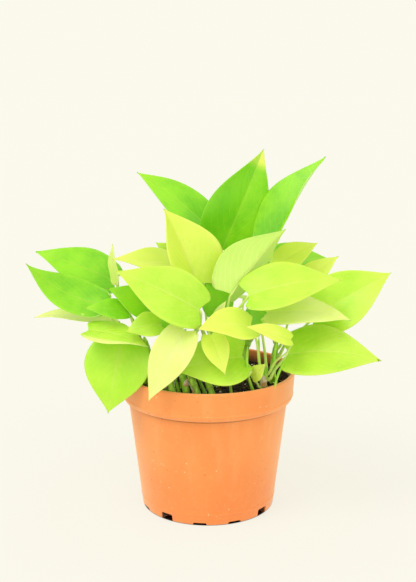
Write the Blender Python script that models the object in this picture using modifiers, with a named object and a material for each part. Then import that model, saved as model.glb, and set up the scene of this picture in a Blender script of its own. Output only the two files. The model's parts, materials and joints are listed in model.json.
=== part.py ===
"""Potted pothos plant: a plastic nursery pot, its potting mix, short rooted stems
and their leaves.  Metres, +Z up, the pot's flat base stands on z = 0."""

import math

import bmesh
import bpy
from mathutils import Matrix, Vector

MM = 0.001

# ---------------------------------------------------------------- pot
POT_RIM_RADIUS = 77.5       # outside of the rim at its widest
POT_HEIGHT = 124.0
POT_RIM_DEPTH = 25.5        # height of the thick rim band
POT_RIM_TAPER = 1.8         # the band is this much narrower at its lower lip
POT_SHOULDER = 4.6          # step from the band's lower lip in to the body
POT_BASE_RADIUS = 59.3
POT_WALL = 1.9
POT_FLOOR = 2.6
POT_FOOT_BEVEL = 1.6
POT_RIM_ROUND = 1.4
POT_FLOOR_FILLET = 3.0
POT_SEGMENTS = 48
NOTCH_COUNT = 12            # drain notches round the foot, every third one tall
NOTCH_WIDTH = 12.0
NOTCH_TALL = 6.5
NOTCH_LOW = 2.4
NOTCH_DEPTH = 8.5           # how far a notch reaches in from the base radius
NOTCH_START = 23.0          # degrees, first low notch beside the front
CENTRE_DRAIN_COUNT = 4
CENTRE_DRAIN_RADIUS = 3.5
CENTRE_DRAIN_CIRCLE = 26.0

# ---------------------------------------------------------------- soil
SOIL_BELOW_RIM = 11.0
SOIL_CLEARANCE = 0.3
SOIL_MOUND = 2.2            # how much the surface rises and falls
SOIL_SEGMENTS = 32
SOCKET_DEPTH = 9.0

# ---------------------------------------------------------------- stems and leaves
STEM_RADIUS = 2.7
STALK_RADIUS = 1.25
BLADE_THICKNESS = 0.8
JOIN_CLEARANCE = 0.35       # between a leaf stalk and the stem it grew from
FURLED_WIDTH = 5.6 * STALK_RADIUS   # a leaf still rolled is only a little wider than its stalk
PLANT_RIM_RADIUS = 77.5     # rim radius that the plant's positions were set for

SOIL_Z = POT_HEIGHT - SOIL_BELOW_RIM
PLANT_SCALE = POT_RIM_RADIUS / PLANT_RIM_RADIUS

LIME = (0.52, 0.85, 0.045)
YELLOW = (0.72, 0.93, 0.10)
GREEN = (0.20, 0.52, 0.035)
PALE = (0.78, 0.95, 0.30)

# Stems: where each leaves the potting mix (x, y), how far its top leans from there,
# its height.  All in mm from the middle of the soil surface.
STEMS = {
    "stem_front_left": ((-36, -46), (-8, 5), 34),
    "stem_front": ((-18, -56), (-8, 6), 30),
    "stem_front_outer": ((-29, -57), (-9, 4), 24),
    "stem_front_low": ((-8, -61), (-9, 4), 22),
    "stem_front_inner": ((-11, -46), (-7, 4), 27),
    "stem_front_middle": ((4, -59), (-6, 5), 17),
    "stem_left": ((-54, -14), (-7, -3), 34),
    "stem_centre_left": ((-22, -24), (3, 2), 42),
    "stem_centre": ((8, -22), (3, 4), 46),
    "stem_front_right": ((47, -45), (3, 5), 24),
    "stem_right": ((57, -8), (4, 2), 38),
    "stem_back_right": ((34, 28), (4, 4), 40),
    "stem_back_left": ((-34, 24), (-4, 4), 38),
    "stem_rear_left": ((-52, 14), (-6, 2), 36),
    "stem_back": ((2, 50), (0, 6), 32),
}

# Leaves: stem, height up the stem (0 to 1), blade base, blade tip, the way the upper
# face looks, width, rise of the midrib above its chord, fold of the two halves,
# twist along the blade in degrees, colour.
LEAVES = {
    "leaf_crown": ("stem_centre", 0.97, (13, 32, 113), (49, 28, 203), (2, -10, 2), 58, 3, 0.15, 0, GREEN),
    "leaf_crown_right": ("stem_right", 0.97, (57, 2, 122), (102, 20, 198), (-9, -4, 2), 54, 3, 0.8, 0,
                         GREEN),
    "leaf_crown_left": ("stem_back_left", 0.9, (3, 54, 127), (-64, 52, 181), (-2, -6, 9), 42, 4, 0.2, 0,
                        GREEN),
    "leaf_upright": ("stem_centre_left", 0.95, (-9, -24, 93), (-37, -12, 156), (6, -8, 3), 54, 2, 0.75, 0,
                     YELLOW),
    "leaf_centre": ("stem_centre", 0.8, (19, -38, 87), (65, -28, 141), (-7, 7, -2), 44, 2, 0.9, 0, PALE),
    "leaf_front_left": ("stem_centre_left", 0.75, (-7, -58, 78), (-75, -64, 112), (0, -8, 6), 48, 5, 0.15,
                        0, LIME),
    "leaf_right": ("stem_centre", 1.0, (34, -52, 89), (112, -40, 100), (0, -6, 8), 48, 6, 0.15, 0, LIME),
    "leaf_far_right": ("stem_right", 0.7, (90, -20, 62), (158, -14, 101), (1, -8, 5), 50, 3, 0.35, 0, LIME),
    "leaf_low_right": ("stem_front_right", 0.6, (68, -44, 36), (146, -52, 33), (0, -6, 8), 54, 8, 0.15, 0,
                       LIME),
    "leaf_mid_right": ("stem_front_right", 1.0, (50, -38, 70), (120, -44, 66), (0, -4, 9), 42, 6, 0.2, 0,
                       LIME),
    "leaf_small_right": ("stem_front_right", 0.85, (68, -68, 55), (31, -78, 69), (0, -6, 8), 18, 2, 0.3, 0,
                         YELLOW),
    "leaf_front_centre": ("stem_front_right", 0.75, (36, -56, 64), (-8, -78, 67), (0, -6, 8), 36, 4, 0.2, 0,
                          YELLOW),
    "leaf_front_hanging": ("stem_front", 0.98, (-19, -64, 62), (-49, -78, 6), (-2, -9, 3), 34, 5, 0.2, 0,
                           PALE),
    "leaf_young_front": ("stem_centre", 0.95, (2, -60, 57), (14, -72, 27), (3, -9, 4), 23, 1, 0.3, 0,
                         YELLOW),
    "leaf_low_front": ("stem_centre", 0.35, (29, -48, 35), (-29, -62, 27), (0, -8, 6), 48, 4, 0.12, 0,
                       LIME),
    "leaf_left_hanging": ("stem_left", 0.85, (-73, -40, 45), (-85, -54, -13), (-2, -9, 3), 58, 3, 0.1, 0,
                          GREEN),
    "leaf_left_flat": ("stem_left", 0.5, (-101, -44, 57), (-49, -56, 46), (0, -4, 9), 30, 4, 0.2, 0, LIME),
    "leaf_under_left": ("stem_front_left", 0.95, (-40, -50, 64), (-68, -57, 59), (-1, -7, 7), 25, 3, 0.25,
                        0,
                        LIME),
    "leaf_second_left": ("stem_back_left", 0.7, (-14, 2, 98), (-80, -36, 117), (0, -5, 8), 40, 4, 0.2, 0,
                         YELLOW),
    "leaf_far_left": ("stem_rear_left", 0.8, (-84, 16, 88), (-153, 16, 114), (0, -8, 7), 40, 3, 0.2, 0,
                      GREEN),
    "leaf_far_left_low": ("stem_left", 1.0, (-91, -28, 76), (-154, -28, 111), (0, -6, 8), 38, -10, 0.2, 0,
                          GREEN),
    "leaf_edge_left": ("stem_rear_left", 0.45, (-81, -6, 58), (-152, -10, 61), (0, -1.5, 9.5), 36, 3, 0.2,
                       0,
                       PALE),
    "leaf_shaded_left": ("stem_left", 0.3, (-67.5, -38, 72), (-103, -46, 77), (0, -7, 7), 20, 2, 0.2, 0,
                         GREEN),
    "leaf_inner_left": ("stem_centre_left", 1.0, (-49, -32, 72), (-83.5, -42, 93), (0, -7, 7), 28, 2, 0.2,
                        0, GREEN),
    "leaf_edge_on_left": ("stem_rear_left", 0.95, (-79, -16, 92), (-82, -16, 126), (-9, -4, 1), 24, 1, 0.2,
                          0, PALE),
    "leaf_tip_left": ("stem_back_left", 0.5, (-22, 26, 98), (-46, 18, 122), (0, -7, 7), 26, 2, 0.2, 0,
                      LIME),
    "leaf_back_right": ("stem_back_right", 0.9, (52, 36, 101), (110, 46, 102), (0, -5, 8), 36, 4, 0.2, 0,
                        GREEN),
    "leaf_right_inner": ("stem_back_right", 0.75, (60, 14, 101), (97, 14, 122), (0, -7, 7), 28, 2, 0.25, 0,
                         YELLOW),
    "leaf_right_tip": ("stem_right", 0.9, (82, 3, 86), (114, 2, 112), (-1, -7, 7), 24, 2, 0.25, 0, YELLOW),
    "leaf_shaded_right": ("stem_centre", 0.6, (36, -12, 60), (66, -20, 70), (0, -6, 8), 30, 3, 0.2, 0,
                          GREEN),
    "leaf_shaded_front": ("stem_centre_left", 0.6, (-25, -34, 58), (-44, -34, 64), (0, -7, 7), 22, 2, 0.2,
                          0,
                          GREEN),
    "leaf_centre_shaded": ("stem_centre", 0.8, (9, -17.6, 65.7), (4, -17.7, 107), (1, -9, 2), 28, 2, 0.2,
                           0, GREEN),
    "leaf_furled": ("stem_centre", 0.55, (6, -42, 66), (15, -46, 83), (0, -8, 6), FURLED_WIDTH, 0.5, 0.6, 0,
                    PALE),
    "leaf_new_shoot": ("stem_front_right", 0.35, (37, -51, 18), (48, -56, 31), (0, -8, 5), 13, 1, 0.3, 0,
                       YELLOW),
    "leaf_rear_1": ("stem_back", 0.9, (12, 66, 84), (30, 128, 72), (0, 4, 9), 46, 6, 0.2, 0, GREEN),
    "leaf_rear_2": ("stem_back", 0.75, (-30, 62, 92), (-62, 118, 84), (-1, 4, 9), 44, 5, 0.2, 0, LIME),
    "leaf_rear_3": ("stem_back_right", 0.6, (58, 60, 82), (106, 94, 74), (3, 3, 9), 42, 5, 0.2, 0, LIME),
    "leaf_rear_4": ("stem_back_left", 0.95, (-62, 46, 82), (-120, 74, 78), (-3, 3, 9), 44, 5, 0.2, 0,
                    GREEN),
    "leaf_rear_5": ("stem_back", 0.95, (-6, 72, 112), (-14, 118, 132), (-1, -4, 9), 38, 4, 0.2, 0, LIME),
    "leaf_rear_6": ("stem_back_right", 0.45, (34, 66, 60), (56, 112, 42), (2, 5, 8), 36, 5, 0.2, 0, YELLOW),
    "leaf_rear_7": ("stem_back", 0.6, (-16, 78, 50), (-36, 124, 30), (-1, 6, 8), 36, 5, 0.2, 0, GREEN),
}

# How the stalk comes in to the blade, where it isn't simply from below.
ARRIVALS = {
    "leaf_young_front": (4, -7, 0.5),
    "leaf_left_flat": (0, -7, 5),
    "leaf_left_hanging": (-1, -8, 1),
    "leaf_front_hanging": (0, -8, 2),
    "leaf_low_front": (0, -6, 7),
    "leaf_furled": (-4, -7, 8),
    "leaf_new_shoot": (0, -7, 8),
}

STATIONS = (0.0, 0.12, 0.30, 0.50, 0.70, 0.87, 1.0)
HALF_WIDTHS = (0.62, 0.91, 1.0, 0.86, 0.56, 0.23, 0.0)
COLUMNS = (-1.0, -0.62, -0.24, 0.0, 0.24, 0.62, 1.0)
LOBES = (-0.045, -0.08, -0.005, 0.0, -0.005, -0.08, -0.045)
STALK_STEPS = 5
# Share of a stem's height and how thick it is there beside its nominal radius.
STEM_SWELL = ((0.0, 1.0), (0.16, 0.95), (0.34, 1.08), (0.5, 0.93), (0.66, 1.06), (0.82, 0.9), (1.0, 0.55))


def clear_scene():
    for thing in list(bpy.data.objects):
        bpy.data.objects.remove(thing)


def collection(name):
    made = bpy.data.collections.new(name)
    bpy.context.scene.collection.children.link(made)
    return made


def material(name, colour, roughness, metallic=0.0):
    made = bpy.data.materials.new(name)
    made.use_nodes = True
    shader = made.node_tree.nodes["Principled BSDF"]
    shader.inputs["Base Color"].default_value = (*colour, 1.0)
    shader.inputs["Roughness"].default_value = roughness
    shader.inputs["Metallic"].default_value = metallic
    return made


def add_object(name, data, home, look=None):
    """Link a mesh or curve as a named object; with no material it is a cutter."""
    made = bpy.data.objects.new(name, data)
    home.objects.link(made)
    if look is None:
        made.hide_render = True
        made.display_type = "WIRE"
    else:
        data.materials.append(look)
    return made


def mesh_from(bm, name):
    mesh = bpy.data.meshes.new(name)
    bm.to_mesh(mesh)
    bm.free()
    return mesh


def profile_edges(points):
    """A chain of edges in the X-Z plane through (radius, height) points in mm."""
    bm = bmesh.new()
    chain = [bm.verts.new((radius * MM, 0.0, height * MM)) for radius, height in points]
    for first, second in zip(chain, chain[1:]):
        bm.edges.new((first, second))
    return bm


def turn_profile(target, steps):
    """Revolves a profile about Z, as a lathe would."""
    turned = target.modifiers.new("turn", "SCREW")
    turned.axis = "Z"
    turned.steps = steps
    turned.render_steps = steps
    turned.use_merge_vertices = True
    turned.merge_threshold = 0.00005


def cut(target, tool):
    step = target.modifiers.new("cut " + tool.name, "BOOLEAN")
    step.operation = "DIFFERENCE"
    step.solver = "EXACT"
    step.object = tool


def block(name, size, tools):
    bm = bmesh.new()
    bmesh.ops.create_cube(bm, size=1.0)
    bmesh.ops.scale(bm, vec=Vector(size) * MM, verts=bm.verts)
    return add_object(name, mesh_from(bm, name), tools)


def drill(name, radius, length, sides, tools):
    bm = bmesh.new()
    bmesh.ops.create_cone(bm, cap_ends=True, segments=sides, radius1=radius * MM, radius2=radius * MM,
                          depth=length * MM)
    return add_object(name, mesh_from(bm, name), tools)


def band_inner_radius():
    """Inside of the thick rim band."""
    return POT_RIM_RADIUS - POT_WALL - 1.2


def inner_radius(height):
    """Inside radius of the pot's wall below the rim band at a height."""
    share = height / (POT_HEIGHT - POT_RIM_DEPTH)
    top = POT_RIM_RADIUS - POT_RIM_TAPER - POT_SHOULDER
    return POT_BASE_RADIUS + (top - POT_BASE_RADIUS) * share - POT_WALL


def pot_profile():
    """Half section of the pot, from the middle of the floor up the inside, over the
    rim and down the outside to the middle of the base."""
    lip = POT_HEIGHT - POT_RIM_DEPTH
    body_top = POT_RIM_RADIUS - POT_RIM_TAPER - POT_SHOULDER
    lip_radius = POT_RIM_RADIUS - POT_RIM_TAPER
    band_in = band_inner_radius()
    turn = POT_RIM_ROUND
    return [
        (0.0, POT_FLOOR),
        (inner_radius(POT_FLOOR) - POT_FLOOR_FILLET, POT_FLOOR),
        (inner_radius(POT_FLOOR + POT_FLOOR_FILLET), POT_FLOOR + POT_FLOOR_FILLET),
        (inner_radius(lip), lip + POT_WALL * 0.6),
        (band_in - 1.0, lip + 3.0),
        (band_in, POT_HEIGHT - turn),
        (band_in + 0.3 * turn, POT_HEIGHT - 0.4 * turn),
        (POT_RIM_RADIUS - 1.2 * turn, POT_HEIGHT),
        (POT_RIM_RADIUS - 0.4 * turn, POT_HEIGHT - 0.6 * turn),
        (POT_RIM_RADIUS, POT_HEIGHT - 2.0 * turn),
        (lip_radius, lip + 2.4 * turn),
        (lip_radius - 0.4 * turn, lip + 0.9 * turn),
        (lip_radius - 1.6 * turn, lip),
        (body_top, lip),
        (POT_BASE_RADIUS, POT_FOOT_BEVEL),
        (POT_BASE_RADIUS - 0.4 * POT_FOOT_BEVEL, 0.4 * POT_FOOT_BEVEL),
        (POT_BASE_RADIUS - POT_FOOT_BEVEL, 0.0),
        (0.0, 0.0),
    ]


def build_pot(home, tools):
    look = material("terracotta plastic", (0.90, 0.33, 0.12), 0.45)
    pot = add_object("grow_pot", mesh_from(profile_edges(pot_profile()), "grow_pot"), home, look)
    turn_profile(pot, POT_SEGMENTS)
    for k in range(NOTCH_COUNT):
        tall = NOTCH_TALL if k % 3 == 1 else NOTCH_LOW
        turn = math.radians(NOTCH_START + 360.0 / NOTCH_COUNT * k)
        notch = block("drain_notch_%02d" % (k + 1), (NOTCH_WIDTH, NOTCH_DEPTH * 2.0, tall * 2.0), tools)
        notch.rotation_euler = (0.0, 0.0, turn)
        notch.location = Vector((math.sin(turn), -math.cos(turn), 0.0)) * POT_BASE_RADIUS * MM
        cut(pot, notch)
    for k in range(CENTRE_DRAIN_COUNT):
        turn = math.radians(45.0 + 360.0 / CENTRE_DRAIN_COUNT * k)
        hole = drill("centre_drain_%d" % (k + 1), CENTRE_DRAIN_RADIUS, POT_FLOOR * 4.0, 12, tools)
        hole.location = Vector((math.cos(turn), math.sin(turn), 0.0)) * CENTRE_DRAIN_CIRCLE * MM
        cut(pot, hole)
    return pot


def soil_height(x, y):
    """Gentle lumps of the potting mix, in mm above the mean surface."""
    a = math.sin(0.115 * x + 0.7) * math.cos(0.098 * y - 0.4)
    b = math.sin(0.21 * x - 0.17 * y + 1.3)
    return SOIL_MOUND * (0.35 * a + 0.15 * b)


def build_soil(home, tools):
    look = material("potting mix", (0.035, 0.022, 0.015), 0.95)
    floor = POT_FLOOR + SOIL_CLEARANCE
    wall = SOIL_CLEARANCE
    lip = POT_HEIGHT - POT_RIM_DEPTH
    top_radius = band_inner_radius() - 1.0 - wall
    profile = [(0.0, SOIL_Z)]
    profile += [(top_radius * share, SOIL_Z) for share in (0.28, 0.55, 0.8, 1.0)]
    profile += [
        (top_radius, lip + 3.0 + wall),
        (inner_radius(lip) - wall, lip + POT_WALL * 0.6 + wall),
        (inner_radius(POT_FLOOR + POT_FLOOR_FILLET) - wall * 1.3, POT_FLOOR + POT_FLOOR_FILLET + wall),
        (inner_radius(POT_FLOOR) - POT_FLOOR_FILLET - wall, floor),
        (0.0, floor),
    ]
    soil = add_object("potting_soil", mesh_from(profile_edges(profile), "soil profile"), home, look)
    turn_profile(soil, SOIL_SEGMENTS)
    depsgraph = bpy.context.evaluated_depsgraph_get()
    turned = bpy.data.meshes.new_from_object(soil.evaluated_get(depsgraph))
    turned.name = "potting_soil"
    soil.modifiers.clear()
    soil.data = turned
    for vertex in turned.vertices:
        if abs(vertex.co.z - SOIL_Z * MM) < 0.000001:
            vertex.co.z += soil_height(vertex.co.x / MM, vertex.co.y / MM) * MM
    for name, (foot, lean, height) in STEMS.items():
        radius = STEM_RADIUS * 1.08 + SOIL_CLEARANCE
        socket = drill("socket_" + name, radius, SOCKET_DEPTH * 2.0, 10, tools)
        socket.location = place((foot[0], foot[1], 0.0))
        cut(soil, socket)
    return soil


def place(point):
    """A point given in mm from the middle of the soil surface, in metres."""
    return Vector((point[0] * PLANT_SCALE, point[1] * PLANT_SCALE, SOIL_Z + point[2] * PLANT_SCALE)) * MM


def stem_point(name, share):
    foot, lean, height = STEMS[name]
    bend = share * share
    return (foot[0] + lean[0] * bend, foot[1] + lean[1] * bend, height * share)


def build_stem(name, home, look):
    """A short rooted stem: a round curve that swells a little at each leaf joint."""
    curve = bpy.data.curves.new(name, "CURVE")
    curve.dimensions = "3D"
    curve.bevel_depth = STEM_RADIUS * MM
    curve.bevel_resolution = 2
    curve.use_fill_caps = True
    line = curve.splines.new("POLY")
    line.points.add(len(STEM_SWELL))
    root = place(stem_point(name, 0.0)) - Vector((0.0, 0.0, (SOCKET_DEPTH - SOIL_CLEARANCE) * MM))
    line.points[0].co = (*root, 1.0)
    line.points[0].radius = 0.9
    for knot, (share, swell) in zip(line.points[1:], STEM_SWELL):
        knot.co = (*place(stem_point(name, share)), 1.0)
        knot.radius = swell
    return add_object(name, curve, home, look)


def blade_frame(base, tip, face):
    """Length of a blade and its axes: along the midrib, across it and out of its face."""
    along = (tip - base).normalized()
    normal = Vector(face)
    normal = (normal - along * normal.dot(along)).normalized()
    return (tip - base).length, along, normal.cross(along), normal


def blade_point(leaf, u, column):
    """A point of a heart-shaped blade's upper face, u of the way from stalk to tip."""
    length, along, across, normal = blade_frame(place(leaf["base"]), place(leaf["tip"]), leaf["face"])
    share = HALF_WIDTHS[STATIONS.index(u)]
    half = 0.5 * leaf["width"] * PLANT_SCALE * MM
    v = COLUMNS[column]
    x = length * (u + LOBES[column] * (1.0 - u) ** 4 * (share > 0.0))
    y = v * share * half
    lift = leaf["fold"] * (abs(y) - 0.25 * y * y / half)
    if u == 0.0 and 0.0 < abs(v) < 0.3:
        y = math.copysign(STALK_RADIUS * MM, v)
        lift = 0.0
    turn = math.radians(leaf["twist"]) * (u - 0.2)
    side = y * math.cos(turn) - lift * math.sin(turn)
    up = y * math.sin(turn) + lift * math.cos(turn)
    up += leaf["rise"] * PLANT_SCALE * MM * 4.0 * u * (1.0 - u)
    return along * x + across * side + normal * up


def bezier(a, b, c, d, t):
    s = 1.0 - t
    return a * s ** 3 + b * 3.0 * s * s * t + c * 3.0 * s * t * t + d * t ** 3


def stalk_path(name, leaf, end):
    """Control points of a leaf's stalk, from beside its stem to the blade."""
    base = place(leaf["base"])
    node = place(stem_point(leaf["stem"], leaf["share"]))
    away = base + end - node
    away.z = 0.0
    away.normalize()
    gap = STEM_RADIUS * 1.1 + STALK_RADIUS * 1.25 + JOIN_CLEARANCE
    root = node + away * gap * MM
    reach = (base + end - root).length
    up = Vector((0.0, 0.0, 1.0))
    leave = (up + away * 0.35).normalized()
    arrive = blade_frame(base, place(leaf["tip"]), leaf["face"])[1] * 0.55 + up * 0.8
    arrive = Vector(ARRIVALS.get(name, arrive)).normalized()
    return root - base, root - base + leave * reach * 0.42, end - arrive * reach * 0.30, end


def grow_stalk(bm, name, leaf, across):
    """Draws the middle of the blade's rear edge out into a six-sided stalk."""
    along = leaf["normal"].cross(across)
    rear = [f for f in bm.faces if f.calc_center_median().length < 1.5 * STALK_RADIUS * MM
            and all(v.co.length < 2.0 * STALK_RADIUS * MM for v in f.verts)
            and all(abs(v.co.dot(along)) < BLADE_THICKNESS * MM for v in f.verts)]
    spots = {v for f in rear for v in f.verts}
    end = sum((v.co for v in spots), Vector()) / len(spots)
    path = stalk_path(name, leaf, end)
    side = across
    for step in range(1, STALK_STEPS + 1):
        t = 1.0 - (0.35 if step == 1 else step) / STALK_STEPS
        ahead = (bezier(*path, min(t + 0.02, 1.0)) - bezier(*path, max(t - 0.02, 0.0))).normalized()
        drawn = bmesh.ops.extrude_face_region(bm, geom=rear)["geom"]
        bmesh.ops.delete(bm, geom=rear, context="FACES")
        rear = [g for g in drawn if isinstance(g, bmesh.types.BMFace)]
        ring = {v for f in rear for v in f.verts}
        middle = sum((v.co for v in ring), Vector()) / len(ring)
        old_side = side
        side = (side - ahead * side.dot(ahead)).normalized()
        over = ahead.cross(side)
        flat = step == 1
        normal = leaf["normal"] if flat else old_over
        radius = STALK_RADIUS * (0.9 + 0.3 * step / STALK_STEPS) * MM
        for v in ring:
            offset = v.co - middle
            right = offset.dot(old_side)
            above = offset.dot(normal)
            slot = 0 if abs(right) < 0.3 * STALK_RADIUS * MM else math.copysign(1.0, right)
            turn = math.radians(90.0 - 60.0 * slot)
            high = math.sin(turn) if above > 0.0 else -math.sin(turn)
            v.co = bezier(*path, t) + (side * math.cos(turn) + over * high) * radius
        old_over = over


def build_leaf(name, home, look):
    """One leaf, blade and stalk grown as one piece; its origin is where they meet."""
    keys = ("stem", "share", "base", "tip", "face", "width", "rise", "fold", "twist", "colour")
    leaf = dict(zip(keys, LEAVES[name]))
    base = place(leaf["base"])
    length, along, across, normal = blade_frame(base, place(leaf["tip"]), leaf["face"])
    leaf["normal"] = normal
    rows = len(STATIONS) - 1
    columns = len(COLUMNS) - 1
    bm = bmesh.new()
    bmesh.ops.create_grid(bm, x_segments=rows, y_segments=columns, size=1.0)
    for vertex in bm.verts:
        row = round((vertex.co.x + 1.0) * 0.5 * rows)
        column = round((vertex.co.y + 1.0) * 0.5 * columns)
        vertex.co = blade_point(leaf, STATIONS[row], column)
    bmesh.ops.remove_doubles(bm, verts=bm.verts, dist=0.00001)
    bm.normal_update()
    bmesh.ops.solidify(bm, geom=bm.faces[:], thickness=BLADE_THICKNESS * MM)
    grow_stalk(bm, name, leaf, across)
    bmesh.ops.recalc_face_normals(bm, faces=bm.faces)
    if bm.calc_volume(signed=True) < 0.0:
        bmesh.ops.reverse_faces(bm, faces=bm.faces)
    made = add_object(name, mesh_from(bm, name), home, look)
    made.location = base
    return made


def main():
    clear_scene()
    home = collection("potted_pothos_plant")
    tools = collection("cutters")
    build_pot(home, tools)
    build_soil(home, tools)
    for name in STEMS:
        build_stem(name, home, material("skin of " + name, (0.30, 0.48, 0.08), 0.5))
    for name, row in LEAVES.items():
        build_leaf(name, home, material("blade of " + name, row[-1], 0.4))


main()
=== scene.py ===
"""The looks of the potted pothos: leaves, stems, potting mix, pot and studio.

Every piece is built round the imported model, which gives it its place. Metres, +Z up.
"""

import json
import math
import random

import bmesh
import bpy
from mathutils import Euler, Matrix, Vector, noise


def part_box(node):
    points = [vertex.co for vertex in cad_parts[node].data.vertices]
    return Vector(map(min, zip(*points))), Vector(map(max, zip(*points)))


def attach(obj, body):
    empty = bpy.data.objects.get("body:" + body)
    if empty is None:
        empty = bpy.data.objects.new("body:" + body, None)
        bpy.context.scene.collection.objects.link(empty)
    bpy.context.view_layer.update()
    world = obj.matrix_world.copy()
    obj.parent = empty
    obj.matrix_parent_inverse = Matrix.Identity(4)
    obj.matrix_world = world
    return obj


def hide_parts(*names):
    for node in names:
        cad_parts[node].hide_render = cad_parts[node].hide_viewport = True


MM = 0.001

# Corners round a packed stem and stalk, and rows of a packed blade counted from its tip.
CAD_STEM_SIDES = 8
CAD_STALK_SIDES = 6
HALF_WAY_ROW = 3
WIDEST_ROW = 4
REAR_ROW = 6

# Leaves
BLADE_THICKNESS = 0.55 * MM
BLADE_ROWS = 44
BLADE_COLUMNS = 28
LOBE_DEPTH = 0.085
VEIN_PAIRS = 8.0
VEIN_SWEEP = 0.62
# Share of the blade's length and the midrib's radius there in mm, on a full-grown leaf.
MIDRIB = ((0.0, 1.05), (0.07, 0.85), (0.16, 0.70), (0.3, 0.55), (0.5, 0.42), (0.7, 0.28), (0.86, 0.14))
STALK_SIDES = 10
STALK_TAPER = (1.75, 1.55, 1.3, 1.2, 1.15, 1.1)     # radii from the stem up, full-grown, mm
FULL_WIDTH = 50.0 * MM      # a full-grown blade's width
STALK_LIGHT = (0.74, 0.84, 0.26)
STALK_GREEN = (0.44, 0.70, 0.08)

# Each slot's leaf tones: main, deeper, veins, edge, underside.
LEAF_TONES = {
    "leaf_green": ((0.30, 0.70, 0.012), (0.12, 0.48, 0.002), (0.46, 0.79, 0.06), (0.38, 0.75, 0.03),
                   (0.50, 0.79, 0.20)),
    "leaf_lime": ((0.53, 0.81, 0.060), (0.36, 0.71, 0.015), (0.74, 0.89, 0.17), (0.68, 0.88, 0.10),
                  (0.60, 0.82, 0.22)),
    "leaf_yellow": ((0.71, 0.86, 0.11), (0.57, 0.82, 0.050), (0.83, 0.90, 0.22), (0.81, 0.90, 0.15),
                    (0.68, 0.84, 0.24)),
    "leaf_pale": ((0.76, 0.88, 0.25), (0.68, 0.85, 0.15), (0.87, 0.92, 0.36), (0.84, 0.92, 0.30),
                  (0.50, 0.78, 0.12)),
    "spring green": ((0.46, 0.78, 0.040), (0.32, 0.70, 0.012), (0.62, 0.85, 0.13), (0.54, 0.82, 0.07),
                     (0.56, 0.80, 0.20)),
}
# Leaves whose own tone differs from the rest of their slot's.
OWN_TONE = {
    "leaf_left_hanging": "spring green",
    "leaf_mid_right": "leaf_pale",
    "leaf_small_right": "leaf_yellow",
}
YELLOW_PATCH = (0.86, 0.90, 0.16)
BROWN_TIP = (0.30, 0.13, 0.03)
PALE_FLECK = (0.84, 0.88, 0.30)
SHADED_HALF = (0.14, 0.52, 0.002)
LEAF_MARKS = {
    "leaf_crown": (("tip", 0.85, YELLOW_PATCH), ("first half", 0.45, SHADED_HALF)),
    "leaf_far_left_low": (("brown tip", 0.9, BROWN_TIP), ("flecks", 0.35, PALE_FLECK)),
    "leaf_inner_left": (("brown tip", 0.8, BROWN_TIP),),
    "leaf_low_front": (("flecks", 0.6, PALE_FLECK),),
    "leaf_low_right": (("flecks", 0.35, PALE_FLECK),),
    "leaf_left_flat": (("pale edge", 0.7, PALE_FLECK),),
}

# Stems
STEM_SIDES = 16
STEM_JOINTS = 3.0
STEM_GREEN = (0.22, 0.52, 0.020)
STEM_LIGHT = (0.48, 0.74, 0.06)
# Rolled young shoots: foot and tip in mm from the middle of the soil surface, thickness.
ROLLED_SHOOTS = (
    ((40, -50, 0), (33, -58, 47), 1.25),
    ((52, -38, 0), (43, -45, 52), 1.30),
    ((61, -36, 0), (58, -50, 49), 1.10),
    ((39, -36, 0), (30, -34, 55), 1.40),
    ((56, -50, 0), (64, -58, 33), 1.05),
    ((-2, -47, 0), (-12, -44, 48), 1.45),
    ((-24, -46, 0), (-28, -43, 46), 1.35),
    ((20, -50, 0), (22, -46, 27), 1.30),
    ((-44, -42, 0), (-51, -46, 37), 1.15),
)
SHEATH_TAN = (0.60, 0.34, 0.11)
SHEATH_PALE = (0.86, 0.82, 0.58)
SHEATH_ROWS = 12
SHEATH_COLUMNS = 8

# Pot
POT_STEPS = 192
PROFILE_STEP = 5.0 * MM     # longest straight piece of the pot's profile
POT_HEIGHT = 124.0 * MM
POT_RIM_RADIUS = 77.5 * MM
POT_RIM_DEPTH = 25.5 * MM
POT_RIM_TAPER = 1.8 * MM
POT_SHOULDER = 4.6 * MM
POT_BASE_RADIUS = 59.3 * MM
POT_WALL = 1.9 * MM
POT_FLOOR = 2.6 * MM
NOTCH_COUNT = 12            # every third one is tall
NOTCH_WIDTH = 12.0 * MM
NOTCH_TALL = 6.5 * MM
NOTCH_LOW = 2.4 * MM
NOTCH_DEPTH = 8.5 * MM
NOTCH_START = math.radians(23.0)
NOTCH_CORNER = 1.4 * MM
DRAIN_COUNT = 4
DRAIN_RADIUS = 3.5 * MM
DRAIN_CIRCLE = 0.026
DRAIN_CUT = 0.012
POT_SHARP = math.radians(38.0)
POT_ORANGE = (0.93, 0.315, 0.082)
POT_DEEP = (0.90, 0.265, 0.062)
POT_PALE = (0.95, 0.40, 0.14)
POT_LOW = (0.88, 0.215, 0.045)
# Painted shade: the near-black colour painted inside the notches and on the floor under the pot, where
# shade falls.
POT_PAINTED_SHADE = (0.035, 0.010, 0.004)

# Potting mix
SOIL_STEPS = 120
SOIL_RINGS = 46

# Studio: each light's name, direction, strength beside the room's and softness.
BACKDROP = (0.968, 0.949, 0.842)
LIGHTS = (
    ("window light", (-0.55, -0.45, 1.0), 0.32, 30.0),
    ("front fill", (0.55, -1.0, 0.40), 0.15, 70.0),
)
CAMERA_PLACE = (0.0, -0.9, 0.389)
CAMERA_DIP = 12.2           # degrees below level
SENSOR_HEIGHT = 24.0
LENS_LENGTH = 43.2
FLOOR_GLOW = 0.80           # share of the floor's brightness that no shadow takes away

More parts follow.
